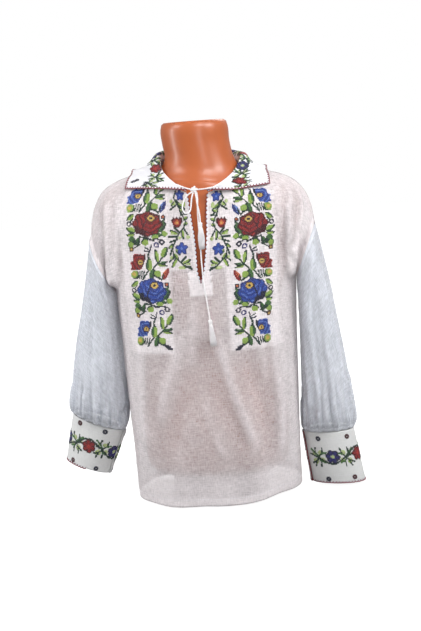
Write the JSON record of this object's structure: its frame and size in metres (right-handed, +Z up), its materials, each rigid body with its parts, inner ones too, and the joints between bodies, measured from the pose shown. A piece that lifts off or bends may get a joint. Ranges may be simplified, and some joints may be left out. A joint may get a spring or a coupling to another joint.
{
  "type": "romanian ie blouse on limbless dress form",
  "caption": "Child's embroidered cotton shirt with slit, drawstring, wide collar and cuffed sleeves, worn by a smooth torso form",
  "frame": {"origin": "centre of the form's oval foot, on the ground", "axes": "+Z up, the front of the shirt and its slit face -Y, +X to the wearer's left"},
  "size_m": [0.518, 0.2274, 0.632],
  "materials": {
    "sheer_cotton": "sheer white cotton voile, with cross-stitched panels on the front",
    "doubled_cotton": "doubled white cotton with cross-stitch and a scalloped maroon edging",
    "cotton_cord": "twisted off-white cotton cord and tassels",
    "form_shell": "smooth glossy orange-brown plastic",
    "form_foot": "plain pale grey plastic"
  },
  "bodies": {
    "root": {"shirt_front": "sheer_cotton", "shirt_back": "sheer_cotton", "sleeve_left": "sheer_cotton", "sleeve_right": "sheer_cotton", "collar": "doubled_cotton", "cuff_left": "doubled_cotton", "cuff_right": "doubled_cotton", "slit_facing": "doubled_cotton", "drawstring_left": "cotton_cord", "drawstring_right": "cotton_cord", "drawstring_loop": "cotton_cord", "drawstring_short_tail": "cotton_cord", "drawstring_long_tail": "cotton_cord", "drawstring_knot": "cotton_cord", "tassel_short": "cotton_cord", "tassel_long": "cotton_cord", "form_torso": "form_shell", "form_foot": "form_foot"}
  },
  "joints": []
}
